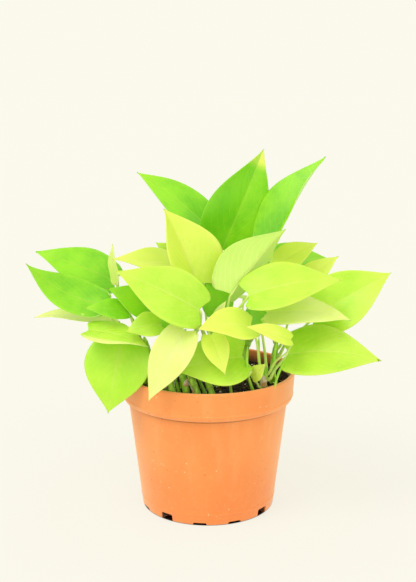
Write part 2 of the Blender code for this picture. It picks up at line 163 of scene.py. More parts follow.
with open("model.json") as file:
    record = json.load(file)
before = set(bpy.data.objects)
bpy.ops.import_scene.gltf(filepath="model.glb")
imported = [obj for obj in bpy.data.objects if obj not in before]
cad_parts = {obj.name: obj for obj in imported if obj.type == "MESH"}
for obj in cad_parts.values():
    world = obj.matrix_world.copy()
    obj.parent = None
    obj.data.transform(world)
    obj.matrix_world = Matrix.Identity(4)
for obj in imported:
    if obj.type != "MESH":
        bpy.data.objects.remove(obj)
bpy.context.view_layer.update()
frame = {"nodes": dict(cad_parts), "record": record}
nodes = frame["nodes"]
record = frame["record"]
slot_of = {entry["node"]: entry["material_slot"] for entry in record["subparts"]}


# ---------------------------------------------------------------- shader nodes


class Value:
    """A shader socket that takes part in sums."""

    def __init__(self, look, socket):
        self.look = look
        self.socket = socket

    def maths(self, operation, first, second=None):
        inputs = {0: first} if second is None else {0: first, 1: second}
        return self.look.node("ShaderNodeMath", {"operation": operation}, inputs)

    def __add__(self, other):
        return self.maths("ADD", self, other)

    __radd__ = __add__

    def __mul__(self, other):
        return self.maths("MULTIPLY", self, other)

    def __sub__(self, other):
        return self.maths("SUBTRACT", self, other)

    def __rsub__(self, other):
        return self.maths("SUBTRACT", other, self)

    def __pow__(self, other):
        return self.maths("POWER", self, other)

    def __abs__(self):
        return self.maths("ABSOLUTE", self)

    def cosine(self):
        return self.maths("COSINE", self)

    def above(self, low, high, start=0.0, end=1.0):
        """Runs smoothly from start to end as the value goes from low to high."""
        inputs = {"Value": self, "From Min": low, "From Max": high, "To Min": start, "To Max": end}
        return self.look.node("ShaderNodeMapRange", {"interpolation_type": "SMOOTHSTEP"}, inputs)


class Look:
    """A material with one Principled shader."""

    def __init__(self, name, roughness=0.5, **constants):
        self.material = bpy.data.materials.new(name)
        self.material.use_nodes = True
        self.tree = self.material.node_tree
        self.shader = self.tree.nodes["Principled BSDF"]
        self.shader.inputs["Roughness"].default_value = roughness
        for key, value in constants.items():
            self.shader.inputs[key.replace("_", " ")].default_value = value

    def node(self, kind, settings=None, inputs=None, out=0):
        """Adds a shader node and returns one of its outputs."""
        made = self.tree.nodes.new(kind)
        for key, value in (settings or {}).items():
            setattr(made, key, value)
        for key, value in (inputs or {}).items():
            self.feed(made.inputs[key], value)
        return Value(self, made.outputs[out])

    def feed(self, socket, value):
        """Links a value to a socket, or sets the socket to a constant."""
        if isinstance(value, Value):
            self.tree.links.new(value.socket, socket)
        elif isinstance(value, tuple) and len(value) == 3 and socket.type == "RGBA":
            socket.default_value = (*value, 1.0)
        else:
            socket.default_value = value

    def set(self, key, value):
        self.feed(self.shader.inputs[key], value)

    def place(self):
        return self.node("ShaderNodeTexCoord", out="Object")

    def mix(self, share, first, second):
        """A colour between first and second."""
        inputs = {0: share, 6: first, 7: second}
        settings = {"data_type": "RGBA", "clamp_factor": True}
        return self.node("ShaderNodeMix", settings, inputs, out=2)

    def noise(self, size, detail=3.0, vector=None, roughness=0.55):
        """Cloudy noise from 0 to 1 whose blotches are about size metres across."""
        inputs = {"Vector": vector or self.place(), "Scale": 1.0 / size, "Detail": detail,
                  "Roughness": roughness}
        return self.node("ShaderNodeTexNoise", {"noise_dimensions": "3D"}, inputs)

    def cells(self, size, vector=None):
        """Distance from the middles of scattered cells about size metres across."""
        inputs = {"Vector": vector or self.place(), "Scale": 1.0 / size}
        return self.node("ShaderNodeTexVoronoi", {"feature": "F1"}, inputs)

    def stretched(self, scale):
        """The piece's own coordinates, scaled along each axis."""
        inputs = {"Vector": self.place(), "Scale": scale}
        return self.node("ShaderNodeMapping", {"vector_type": "POINT"}, inputs)

    def bump(self, height, distance, strength=1.0):
        inputs = {"Height": height, "Distance": distance, "Strength": strength}
        self.set("Normal", self.node("ShaderNodeBump", None, inputs))


# -------------------------------------------------------------------- geometry


def merged_copy(node):
    """A node's mesh with its loose triangles joined, in a bmesh."""
    bm = bmesh.new()
    bm.from_mesh(node.data)
    bmesh.ops.remove_doubles(bm, verts=bm.verts, dist=0.000002)
    return bm


def rings_from(starts):
    """Vertices grouped by how many edges away from the starts they are."""
    seen = set(starts)
    rings = [list(starts)]
    while rings[-1]:
        ahead = []
        for vertex in rings[-1]:
            for edge in vertex.link_edges:
                other = edge.other_vert(vertex)
                if other not in seen:
                    seen.add(other)
                    ahead.append(other)
        rings.append(ahead)
    return rings[:-1]


def middle(points):
    points = list(points)
    return sum(points, Vector()) / len(points)


def add_piece(name, bm, looks, replaced=()):
    """Makes a finished piece of the plant that rides on its one body."""
    mesh = bpy.data.meshes.new(name)
    bm.to_mesh(mesh)
    bm.free()
    mesh.shade_smooth()
    for look in looks:
        mesh.materials.append(look)
    piece = bpy.data.objects.new(name, mesh)
    bpy.context.scene.collection.objects.link(piece)
    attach(piece, "root")
    if replaced:
        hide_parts(*replaced)
    return piece


def smooth_line(points, per_span):
    """A rounded line through the points."""
    ends = [points[0] * 2.0 - points[1], *points, points[-1] * 2.0 - points[-2]]
    line = []
    for a, b, c, d in zip(ends, ends[1:], ends[2:], ends[3:]):
        for step in range(per_span):
            t = step / per_span
            line.append(0.5 * (b * 2.0 + (c - a) * t + (a * 2.0 - b * 5.0 + c * 4.0 - d) * t * t
                               + (b * 3.0 - a - c * 3.0 + d) * t * t * t))
    line.append(points[-1].copy())
    return line


def draw_tube(bm, line, radii, sides):
    """Draws a disc out along a line into a closed round tube, and returns its rings."""
    ring = bmesh.ops.create_circle(bm, cap_ends=True, segments=sides, radius=1.0)["verts"]
    faces = list(ring[0].link_faces)
    rings = []
    before = Matrix.Identity(4)
    side = Vector((0.31, 0.87, 0.38))
    for k, point in enumerate(line):
        ahead = (line[min(k + 1, len(line) - 1)] - line[max(k - 1, 0)]).normalized()
        side = (side - ahead * side.dot(ahead)).normalized()
        over = ahead.cross(side)
        after = Matrix((side * radii[k], over * radii[k], ahead)).transposed().to_4x4()
        after.translation = point
        if k > 0:
            drawn = bmesh.ops.extrude_face_region(bm, geom=faces)["geom"]
            if k > 1:
                bmesh.ops.delete(bm, geom=faces, context="FACES_ONLY")
            faces = [g for g in drawn if isinstance(g, bmesh.types.BMFace)]
            ring = [g for g in drawn if isinstance(g, bmesh.types.BMVert)]
        bmesh.ops.transform(bm, matrix=after @ before.inverted(), verts=ring)
        before = after
        rings.append(ring)
    skin = {face for ring in rings for vertex in ring for face in vertex.link_faces}
    bmesh.ops.recalc_face_normals(bm, faces=list(skin))
    return rings


def thicken(bm, thickness):
    """Gives an open sheet a back, and returns the back's vertices."""
    bm.normal_update()
    drawn = bmesh.ops.extrude_face_region(bm, geom=bm.faces[:])["geom"]
    back = [g for g in drawn if isinstance(g, bmesh.types.BMVert)]
    for vertex in back:
        vertex.co -= vertex.normal * thickness
    bmesh.ops.recalc_face_normals(bm, faces=bm.faces)
    if bm.calc_volume(signed=True) < 0.0:
        bmesh.ops.reverse_faces(bm, faces=bm.faces)
    return back


def spread(values, count):
    """Values read off evenly along a list, with straight runs between."""
    out = []
    for k in range(count):
        at = k / (count - 1) * (len(values) - 1)
        low = min(int(at), len(values) - 2)
        out.append(values[low] + (values[low + 1] - values[low]) * (at - low))
    return out


# ---------------------------------------------------------------------- studio


def build_studio():
    scene = bpy.context.scene
    scene.view_settings.view_transform = "Standard"
    world = bpy.data.worlds.new("soft white room")
    world.use_nodes = True
    world.node_tree.nodes["Background"].inputs["Color"].default_value = (*BACKDROP, 1.0)
    world.node_tree.nodes["Background"].inputs["Strength"].default_value = 1.0
    scene.world = world

    level = 0.0
    for name, source, share, softness in LIGHTS:
        sun = bpy.data.lights.new(name, "SUN")
        sun.energy = share * math.pi
        sun.angle = math.radians(softness)
        lamp = bpy.data.objects.new(name, sun)
        lamp.rotation_euler = Vector(source).to_track_quat("Z", "Y").to_euler()
        scene.collection.objects.link(lamp)
        level += share * Vector(source).normalized().z

    bm = bmesh.new()
    bmesh.ops.create_grid(bm, x_segments=2, y_segments=2, size=12.0)
    mesh = bpy.data.meshes.new("floor")
    bm.to_mesh(mesh)
    bm.free()
    look = Look("matt white paper", 0.95, Specular_IOR_Level=0.0, Emission_Strength=FLOOR_GLOW)
    tone = tuple((1.0 - FLOOR_GLOW) * c / (c + level) for c in BACKDROP)
    grain = look.noise(0.004, 2.0)
    x, y = (look.node("ShaderNodeSeparateXYZ", inputs={0: look.place()}, out=k) for k in range(2))
    # Painted shadow under the pot: inside the pot's foot the floor is painted near black and given no glow,
    # so the notches read dark.
    under = ((x * x + y * y) ** 0.5).above(POT_BASE_RADIUS - 1.2 * MM, POT_BASE_RADIUS + 0.4 * MM, 1.0, 0.0)
    paper = look.mix(grain * 0.02, tone, tuple(c * 0.97 for c in tone))
    look.set("Base Color", look.mix(under, paper, POT_PAINTED_SHADE))
    look.set("Emission Color", look.mix(under, BACKDROP, (0.0, 0.0, 0.0)))
    mesh.materials.append(look.material)
    floor = bpy.data.objects.new("floor", mesh)
    floor.visible_glossy = False
    scene.collection.objects.link(floor)

    lens = bpy.data.cameras.new("camera")
    lens.sensor_fit = "VERTICAL"
    lens.sensor_height = SENSOR_HEIGHT
    lens.lens = LENS_LENGTH
    lens.clip_start = 0.01
    camera = bpy.data.objects.new("camera", lens)
    camera.location = CAMERA_PLACE
    camera.rotation_euler = (math.radians(90.0 - CAMERA_DIP), 0.0, 0.0)
    scene.collection.objects.link(camera)
    scene.camera = camera


# ------------------------------------------------------------------------- pot


def rounded(points, steps=4):
    """A profile whose (radius, height, rounding) corners are turned into small arcs."""
    line = []
    for k, (x, z, turn) in enumerate(points):
        corner = Vector((x, z))
        if turn == 0.0 or k in (0, len(points) - 1):
            line.append(corner)
            continue
        back = Vector(points[k - 1][:2]) - corner
        ahead = Vector(points[k + 1][:2]) - corner
        start = corner + back.normalized() * min(turn, back.length * 0.49)
        end = corner + ahead.normalized() * min(turn, ahead.length * 0.49)
        for step in range(steps + 1):
            t = step / steps
            line.append(start * (1 - t) ** 2 + corner * 2 * t * (1 - t) + end * t * t)
    return line


def turn_on_lathe(bm, line, steps):
    """Spins a profile of (radius, height) in metres round Z into a closed body."""
    chain = [bm.verts.new((p[0], 0.0, p[1])) for p in line]
    edges = [bm.edges.new(pair) for pair in zip(chain, chain[1:])]
    bmesh.ops.spin(bm, geom=chain + edges, cent=(0, 0, 0), axis=(0, 0, 1), angle=2 * math.pi,
                   steps=steps, use_merge=True)
    bmesh.ops.remove_doubles(bm, verts=bm.verts, dist=0.000002)
    bmesh.ops.recalc_face_normals(bm, faces=bm.faces)


def pot_look():
    look = Look("terracotta coloured plastic", 0.5, Specular_IOR_Level=0.26, Sheen_Weight=0.55,
                Sheen_Roughness=0.5, Sheen_Tint=(1.0, 0.84, 0.55, 1.0))
    place = look.place()
    x, y, z = (look.node("ShaderNodeSeparateXYZ", inputs={0: place}, out=k) for k in range(3))
    radius = (x * x + y * y) ** 0.5
    clouds = look.noise(0.045, 4.0)
    flow = look.noise(0.012, 4.0, vector=look.stretched((1.0, 1.0, 0.16)))
    colour = look.mix(clouds.above(0.3, 0.75), POT_ORANGE, POT_DEEP)
    colour = look.mix(flow.above(0.45, 0.8) * 0.35, colour, POT_PALE)
    colour = look.mix(z.above(0.0, 0.075, 0.55, 0.0), colour, POT_LOW)
    scuffs = look.noise(0.006, 5.0, vector=look.stretched((1.0, 1.0, 3.2)), roughness=0.7)
    worn = scuffs.above(0.64, 0.74) * look.noise(0.03, 2.0).above(0.5, 0.62)
    lip = POT_HEIGHT - POT_RIM_DEPTH
    bead = z.above(lip + 1.0 * MM, lip + 3.0 * MM) * z.above(lip + 5.0 * MM, lip + 7.0 * MM, 1.0, 0.0)
    chips = look.noise(0.0035, 4.0, vector=look.stretched((1.0, 1.0, 2.2)), roughness=0.7)
    worn = worn + bead * chips.above(0.60, 0.68) * look.noise(0.025, 2.0).above(0.46, 0.56)
    grit = look.noise(0.0028, 4.0, roughness=0.75)
    colour = look.mix(grit.above(0.50, 0.72) * 0.30, colour, POT_PALE)
    colour = look.mix(worn * 0.7, colour, (0.98, 0.70, 0.40))
    pale_specks = look.cells(0.0065).above(0.06, 0.12, 1.0, 0.0) * look.noise(0.016, 1.0).above(0.50, 0.60)
    colour = look.mix(pale_specks * 0.7, colour, (0.98, 0.68, 0.36))
    red_specks = look.cells(0.0090, vector=look.stretched((1.1, 0.9, 1.0)))
    red_specks = red_specks.above(0.07, 0.14, 1.0, 0.0) * look.noise(0.030, 1.0).above(0.48, 0.60)
    colour = look.mix(red_specks * 0.55, colour, (0.72, 0.13, 0.03))
    # Inner wall inside the rim: painted darker brown, partly painted shade inside the pot and partly soil
    # dirt; lower down, near the soil, it goes almost black with soil smear.
    inside = radius.above(POT_RIM_RADIUS - 3.4 * MM, POT_RIM_RADIUS - 2.9 * MM, 1.0, 0.0)
    inside = inside * z.above(0.096, 0.099)
    stain = look.noise(0.008, 4.0)
    dirt = (z + stain * 0.008).above(0.1165, 0.1235, 1.0, 0.0) * inside
    colour = look.mix(inside * 0.8, colour, (0.36, 0.10, 0.022))
    colour = look.mix(dirt * 0.8, colour, (0.05, 0.022, 0.010))
    # Painted shade inside the notches: the pot's wall inside its foot, up to the notch tops, is painted
    # near black.
    notch_painted_shade = radius.above(POT_BASE_RADIUS - 1.4 * MM, POT_BASE_RADIUS - 0.5 * MM, 1.0, 0.0)
    notch_painted_shade = notch_painted_shade * z.above(0.1 * MM, 0.5 * MM) * z.above(8.0 * MM, 10.0 * MM, 1.0, 0.0)
    colour = look.mix(notch_painted_shade, colour, POT_PAINTED_SHADE)
    look.set("Base Color", colour)
    look.set("Roughness", 0.42 + clouds * 0.14 + worn * 0.15)
    peel = look.noise(0.0016, 2.0)
    look.bump(peel * 0.3 + flow * 0.8 + scuffs * 0.3, 0.00018, 0.55)
    return look.material


def build_pot():
    """The pot's body with its rim band, bead and moulded line, then its notches and drains."""
    lip = POT_HEIGHT - POT_RIM_DEPTH
    low = POT_RIM_RADIUS - POT_RIM_TAPER
    body_top = low - POT_SHOULDER
    band_in = POT_RIM_RADIUS - POT_WALL - 1.2 * MM
    slope = (body_top - POT_BASE_RADIUS) / lip
    floor_in = POT_BASE_RADIUS + slope * POT_FLOOR - POT_WALL
    bead = lip + 4.6 * MM
    bead_radius = low + POT_RIM_TAPER * 4.6 * MM / POT_RIM_DEPTH
    profile = [
        (0.0, POT_FLOOR, 0.0),
        (0.021, POT_FLOOR, 0.0),
        (0.023, POT_FLOOR + 0.4 * MM, 0.6 * MM),
        (0.033, POT_FLOOR + 0.4 * MM, 0.6 * MM),
        (0.035, POT_FLOOR, 0.6 * MM),
        (floor_in, POT_FLOOR, 3.0 * MM),
        (body_top - POT_WALL, lip + 1.1 * MM, 1.5 * MM),
        (band_in - 0.9 * MM, lip + 3.2 * MM, 1.5 * MM),
        (band_in, POT_HEIGHT, 1.3 * MM),
        (POT_RIM_RADIUS, POT_HEIGHT, 1.7 * MM),
        (POT_RIM_RADIUS - 0.25 * MM, POT_HEIGHT - 3.4 * MM, 1.4 * MM),
        (bead_radius, bead + 1.3 * MM, 0.5 * MM),
        (bead_radius + 0.35 * MM, bead + 0.5 * MM, 0.5 * MM),
        (bead_radius + 0.35 * MM, bead - 0.3 * MM, 0.5 * MM),
        (bead_radius - 0.1 * MM, bead - 1.1 * MM, 0.5 * MM),
        (low, lip + 2.6 * MM, 1.6 * MM),
        (low - 1.2 * MM, lip, 1.5 * MM),
        (body_top, lip, 0.9 * MM),
        (body_top - 2.0 * MM * slope, lip - 2.0 * MM, 0.9 * MM),
        (POT_BASE_RADIUS + slope * 16.0 * MM, 16.0 * MM, 0.0),
        (POT_BASE_RADIUS + slope * 10.4 * MM, 10.4 * MM, 0.2 * MM),
        (POT_BASE_RADIUS + slope * 9.9 * MM + 0.3 * MM, 9.9 * MM, 0.3 * MM),
        (POT_BASE_RADIUS + slope * 9.2 * MM + 0.3 * MM, 9.2 * MM, 0.3 * MM),
        (POT_BASE_RADIUS + slope * 8.7 * MM, 8.7 * MM, 0.2 * MM),
        (POT_BASE_RADIUS, 0.0, 1.6 * MM),
        (POT_BASE_RADIUS - 5.0 * MM, 0.0, 0.0),
        (0.0, 0.0, 0.0),
    ]
    line = rounded(profile)
    fine = []
    for a, b in zip(line, line[1:]):
        pieces = max(1, int((b - a).length / PROFILE_STEP))
        fine += [a.lerp(b, k / pieces) for k in range(pieces)]
    fine.append(line[-1])
    bm = bmesh.new()
    turn_on_lathe(bm, fine, POT_STEPS)
    pot = add_piece("pot", bm, [pot_look()], ["grow_pot"])

    bm = bmesh.new()
    lips = set()
    for k in range(NOTCH_COUNT):
        tall = NOTCH_TALL if k % 3 == 1 else NOTCH_LOW
        turn = NOTCH_START + 2.0 * math.pi / NOTCH_COUNT * k
        cube = bmesh.ops.create_cube(bm, size=1.0)["verts"]
        bmesh.ops.scale(bm, vec=(NOTCH_WIDTH, NOTCH_DEPTH * 2.0, tall * 2.0), verts=cube)
        upper = {edge for vertex in cube for edge in vertex.link_edges if vertex.co.z > 0.0}
        lips |= {e for e in upper if e.verts[0].co.xz == e.verts[1].co.xz}
        spot = Vector((math.sin(turn), -math.cos(turn), 0.0)) * POT_BASE_RADIUS
        place = Matrix.Translation(spot) @ Matrix.Rotation(turn, 4, "Z")
        bmesh.ops.transform(bm, matrix=place, verts=cube)
    bmesh.ops.bevel(bm, geom=list(lips), offset=NOTCH_CORNER, segments=4, profile=0.5,
                    affect="EDGES", material=-1)
    for k in range(DRAIN_COUNT):
        turn = math.pi / 4 + 2.0 * math.pi / DRAIN_COUNT * k
        drill = bmesh.ops.create_cone(bm, cap_ends=True, segments=40, radius1=DRAIN_RADIUS,
                                      radius2=DRAIN_RADIUS, depth=DRAIN_CUT)["verts"]
        spot = (DRAIN_CIRCLE * math.cos(turn), DRAIN_CIRCLE * math.sin(turn), 0.0)
        bmesh.ops.translate(bm, verts=drill, vec=spot)
    mesh = bpy.data.meshes.new("drain cutters")
    bm.to_mesh(mesh)
    bm.free()
    tools = bpy.data.objects.new("drain cutters", mesh)
    bpy.context.scene.collection.objects.link(tools)
    cut = pot.modifiers.new("drains", "BOOLEAN")
    cut.operation = "DIFFERENCE"
    cut.solver = "EXACT"
    cut.object = tools
    depsgraph = bpy.context.evaluated_depsgraph_get()
    finished = bpy.data.meshes.new_from_object(pot.evaluated_get(depsgraph))
    pot.modifiers.clear()
    pot.data = finished
    finished.name = "pot"
    finished.set_sharp_from_angle(angle=POT_SHARP)
    bpy.data.objects.remove(tools)


# ---------------------------------------------------------------- potting mix


def mix_look():
    look = Look("dark potting mix", 0.92, Specular_IOR_Level=0.25)
    crumbs = look.cells(0.0021)
    clouds = look.noise(0.006, 4.0)
    colour = look.mix(clouds.above(0.35, 0.7), (0.005, 0.004, 0.003), (0.026, 0.015, 0.008))
    colour = look.mix(crumbs.above(0.0, 0.5, 0.5, 0.0), colour, (0.048, 0.026, 0.013))
    flecks = look.cells(0.0048).above(0.05, 0.12, 1.0, 0.0) * look.noise(0.009, 2.0).above(0.5, 0.6)
    colour = look.mix(flecks, colour, (0.42, 0.30, 0.17))
    look.set("Base Color", colour)
    look.bump(crumbs * 0.8 + look.noise(0.0014, 3.0), 0.0012, 0.9)
    return look.material


def grain_look(name, first, second, roughness):
    look = Look(name, roughness, Specular_IOR_Level=0.3)
    tone = look.noise(0.004, 3.0).above(0.3, 0.7)
    look.set("Base Color", look.mix(tone, first, second))
    look.bump(look.noise(0.0006, 3.0), 0.0003, 0.7)
    return look.material


def soil_top(x, y, mean):
    """Height of the crumbly surface of the mix at a place."""
    lumps = noise.noise(Vector((x, y, 0.3)) * 60.0) * 1.3 * MM
    crumbs = noise.noise(Vector((x, y, 1.7)) * 260.0) * 0.8 * MM
    fine = noise.noise(Vector((x, y, 4.1)) * 800.0) * 0.45 * MM
    return mean + lumps + crumbs + fine


def build_mix():
    """The body of potting mix and the loose grains and fibres on its top."""
    corners = {}
    for vertex in nodes["potting_soil"].data.vertices:
        radius = vertex.co.xy.length
        if radius > 0.05:
            corners[round(vertex.co.z, 4)] = max(radius, corners.get(round(vertex.co.z, 4), 0.0))
    low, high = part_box("potting_soil")
    mean = high.z - 0.7 * MM
    top_radius = max(corners.values()) - 0.1 * MM
    wall = sorted((z, r) for z, r in corners.items() if z < mean - 6.0 * MM)
    line = [Vector((top_radius * k / SOIL_RINGS, mean)) for k in range(SOIL_RINGS + 1)]
    line += [Vector((radius, z)) for z, radius in reversed(wall)]
    line += [Vector((0.0, low.z))]
    bm = bmesh.new()
    turn_on_lathe(bm, line, SOIL_STEPS)
    for vertex in bm.verts:
        if abs(vertex.co.z - mean) < 0.01 * MM:
            vertex.co.z = soil_top(vertex.co.x, vertex.co.y, mean)
    add_piece("potting_mix", bm, [mix_look()], ["potting_soil"])

    dice = random.Random(11)
    kinds = (
        ("bark_bits", 520, 1.5 * MM, (0.040, 0.018, 0.008), (0.13, 0.065, 0.028), (1.5, 0.8, 0.5)),
        ("peat_crumbs", 900, 1.25 * MM, (0.012, 0.008, 0.005), (0.045, 0.026, 0.015), (1.0, 0.9, 0.8)),
        ("perlite_grains", 120, 1.05 * MM, (0.86, 0.84, 0.78), (0.60, 0.56, 0.48), (1.0, 0.9, 0.85)),
        ("coir_fibres", 150, 0.30 * MM, (0.50, 0.34, 0.17), (0.28, 0.16, 0.07), (14.0, 1.0, 1.0)),
    )
    for name, count, size, first, second, stretch in kinds:
        bm = bmesh.new()
        for _ in range(count):
            distance = (top_radius - 2.0 * MM) * math.sqrt(dice.random())
            turn = dice.uniform(0.0, 2.0 * math.pi)
            x, y = distance * math.cos(turn), distance * math.sin(turn)
            big = size * dice.uniform(0.45, 1.35)
            lump = bmesh.ops.create_icosphere(bm, subdivisions=1, radius=1.0)["verts"]
            for vertex in lump:
                vertex.co *= dice.uniform(0.75, 1.15)
            shape = Matrix.Diagonal((*(big * s for s in stretch), 1.0))
            lean = Euler((dice.uniform(-0.5, 0.5), dice.uniform(-0.25, 0.25), dice.uniform(0, 6.3)))
            spot = Vector((x, y, soil_top(x, y, mean) + big * stretch[2] * 0.35))
            bmesh.ops.transform(bm, matrix=Matrix.Translation(spot) @ lean.to_matrix().to_4x4() @ shape,
                                verts=lump)
        bmesh.ops.recalc_face_normals(bm, faces=bm.faces)
        look = grain_look(name.replace("_", " "), first, second, 0.9)
        piece = add_piece(name, bm, [look])
        piece.data.shade_flat()


# ----------------------------------------------------------------------- stems


def stem_line(node):
    """Middles and mean radii of a stem node's rings, from the soil up."""
    bm = merged_copy(node)
    foot = sorted(bm.verts, key=lambda v: v.co.z)[:CAD_STEM_SIDES]
    rings = rings_from(foot)
    middles = [middle(v.co for v in ring) for ring in rings]
    radii = [sum((v.co - m).length for v in ring) / len(ring) for ring, m in zip(rings, middles)]
    bm.free()
    return middles, radii


def stem_look(name, shade):
    look = Look(name, 0.42, Specular_IOR_Level=0.5, Subsurface_Weight=0.12, Subsurface_Scale=0.003)
    look.shader.inputs["Subsurface Radius"].default_value = (0.6, 1.0, 0.2)
    up = look.node("ShaderNodeAttribute", {"attribute_name": "along"}, out=2)
    streak = look.noise(0.003, 4.0, vector=look.stretched((1.0, 1.0, 0.12)))
    clouds = look.noise(0.012, 3.0)
    colour = look.mix(streak.above(0.35, 0.7), tuple(c * shade for c in STEM_GREEN), STEM_LIGHT)
    colour = look.mix(clouds.above(0.55, 0.75) * 0.5, colour, (0.42, 0.40, 0.06))
    scar = (up * 2.0 * math.pi * STEM_JOINTS).cosine().above(0.93, 0.99)
    colour = look.mix(scar * 0.40, colour, (0.26, 0.20, 0.03))
    colour = look.mix(up.above(0.0, 0.16, 0.5, 0.0), colour, (0.46, 0.44, 0.10))
    look.set("Base Color", colour)
    look.set("Roughness", 0.38 + clouds * 0.2 + scar * 0.3)
    look.bump(streak * 0.5 + look.noise(0.001, 2.0) * 0.3, 0.0004, 0.5)
    return look.material


def build_stem(name):
    """One stem with its joints, and the middles of its packed rings."""
    middles, radii = stem_line(nodes[name])
    dice = random.Random(name)
    line = smooth_line(middles, 6)
    rounds = spread(radii, len(line))
    count = len(line)
    bm = bmesh.new()
    layer = bm.verts.layers.float.new("along")
    for k in range(count):
        share = k / (count - 1)
        joint = math.cos(share * 2.0 * math.pi * STEM_JOINTS)
        rounds[k] *= 1.0 + 0.10 * max(0.0, joint) ** 6 + 0.03 * dice.uniform(-1.0, 1.0)
        if share > 0.9:
            rounds[k] *= math.sqrt(max(0.02, 1.0 - ((share - 0.9) / 0.1) ** 2))
    rings = draw_tube(bm, line, rounds, STEM_SIDES)
    for k, ring in enumerate(rings):
        for vertex in ring:
            vertex[layer] = k / (count - 1)
    look = stem_look(name + " skin", dice.uniform(0.8, 1.2))
    add_piece(name.replace("stem_", "plant_stem_"), bm, [look], [name])
    return middles


def build_shoot(number, foot, tip, thickness, soil):
    """A young leaf still rolled into a point on its stalk."""
    foot = Vector(foot) * MM + Vector((0.0, 0.0, soil))
    tip = Vector(tip) * MM + Vector((0.0, 0.0, soil))
    reach = (tip - foot).length
    bow = (tip - foot).cross(Vector((0.2, 1.0, 0.1))).normalized() * reach * 0.06
    line = [foot - Vector((0.0, 0.0, 4.0 * MM)), foot, foot.lerp(tip, 0.35) + bow,
            foot.lerp(tip, 0.65) + bow, foot.lerp(tip, 0.85) + bow * 0.5, tip]
    path = smooth_line(line, 6)
    rounds = [r * thickness * MM for r in spread([1.25, 1.15, 0.85, 1.05, 0.9, 0.12], len(path))]
    bm = bmesh.new()
    layer = bm.verts.layers.float.new("along")
    for k, ring in enumerate(draw_tube(bm, path, rounds, STALK_SIDES)):
        for vertex in ring:
            vertex[layer] = 0.35 + 0.3 * k / len(path)
    name = "rolled_shoot_%d" % number
    add_piece(name, bm, [stem_look(name + " skin", 1.25)])


def build_sheath(number, middles):
    """A dry papery sheath that clasps a stem and comes away from it at its tip."""
    dice = random.Random(100 + number)
    foot = middles[2].lerp(middles[4], dice.random())
    up = (middles[4] - middles[2]).normalized()
    start = dice.uniform(0.0, 2.0 * math.pi)
    length = dice.uniform(9.0, 17.0) * MM
    flare = dice.uniform(2.5, 6.5) * MM
    bm = bmesh.new()
    bmesh.ops.create_grid(bm, x_segments=SHEATH_ROWS, y_segments=SHEATH_COLUMNS, size=1.0)
    for vertex in bm.verts:
        u = 0.5 + 0.5 * vertex.co.x
        turn = start + vertex.co.y * 1.35 * (1.0 - u ** 1.6)
        out = Vector((math.cos(turn), math.sin(turn), 0.0))
        reach = 3.15 * MM + flare * u ** 2.2 + 0.2 * MM * math.sin(9.0 * vertex.co.y + number)
        vertex.co = foot + up * length * u + out * reach
    bmesh.ops.remove_doubles(bm, verts=bm.verts, dist=0.01 * MM)
    thicken(bm, 0.18 * MM)
    name = "stem_sheath_%d" % number
    look = Look(name, 0.7, Specular_IOR_Level=0.3, Subsurface_Weight=0.15, Subsurface_Scale=0.001)
    streak = look.noise(0.0016, 4.0, vector=look.stretched((1.0, 1.0, 0.2)))
    dry = look.noise(0.006, 3.0)
    colour = look.mix(dry.above(0.35, 0.65), SHEATH_TAN, SHEATH_PALE)
    look.set("Base Color", look.mix(streak.above(0.5, 0.7) * 0.5, colour, (0.32, 0.17, 0.06)))
    look.bump(streak, 0.0003, 0.6)
    add_piece(name, bm, [look.material])


# ---------------------------------------------------------------------- leaves


